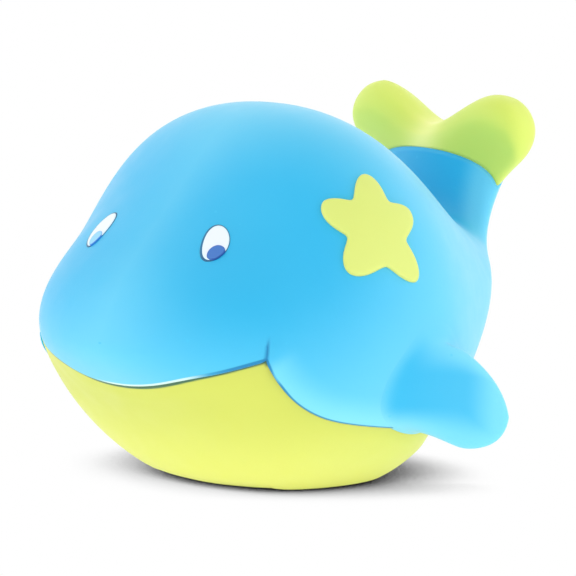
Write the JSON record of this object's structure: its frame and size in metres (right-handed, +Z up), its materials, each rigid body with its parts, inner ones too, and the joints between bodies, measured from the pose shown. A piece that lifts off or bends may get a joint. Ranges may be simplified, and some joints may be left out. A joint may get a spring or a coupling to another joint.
{
  "type": "squeaky bath toy",
  "caption": "Chubby soft vinyl whale with a raised tail, side flippers and a star on one flank, squeezed to sound a reed squeaker pressed into its flat base.",
  "frame": {"origin": "on the floor under the middle of the toy's bounding box", "axes": "+Z up, -Y ahead of the whale's nose, +X out of its left flank"},
  "size_m": [0.119, 0.1133, 0.0827],
  "materials": {
    "vinyl_blue": "matte soft vinyl",
    "vinyl_lime": "matte soft vinyl",
    "vinyl_star": "matte soft vinyl",
    "enamel_dark": "satin print",
    "enamel_white": "satin print",
    "enamel_iris": "satin print",
    "squeaker_plastic": "moulded",
    "tube_plastic": "moulded",
    "reed_metal": "rolled strip"
  },
  "bodies": {
    "belly": {"belly_shell": "vinyl_lime", "squeaker_cup": "squeaker_plastic", "squeaker_cap": "squeaker_plastic", "reed_tube": "tube_plastic", "reed_clip": "tube_plastic"},
    "upper_skin": {"upper_shell": "vinyl_blue", "left_flipper": "vinyl_blue", "right_flipper": "vinyl_blue", "tail_flukes": "vinyl_lime", "star_patch": "vinyl_star", "left_eye_edge": "enamel_dark", "left_eye_white": "enamel_white", "left_eye_iris": "enamel_iris", "right_eye_edge": "enamel_dark", "right_eye_white": "enamel_white", "right_eye_iris": "enamel_iris"},
    "reed_blade": {"reed": "reed_metal"}
  },
  "joints": [
    {"name": "squeeze", "type": "slide", "parent": "belly", "child": "upper_skin", "axis": [0, 0, -1], "range_m": [0, 0.006], "stiffness_N_per_m": 1500, "springref_m": -0.0008, "deforming": ["belly_shell"]},
    {"name": "reed_beat", "type": "hinge", "parent": "belly", "child": "reed_blade", "pos_m": [0, -0.00324, 0.01], "axis": [1, 0, 0], "range_deg": [-2, 2], "stiffness_Nm_per_rad": 0.002}
  ]
}
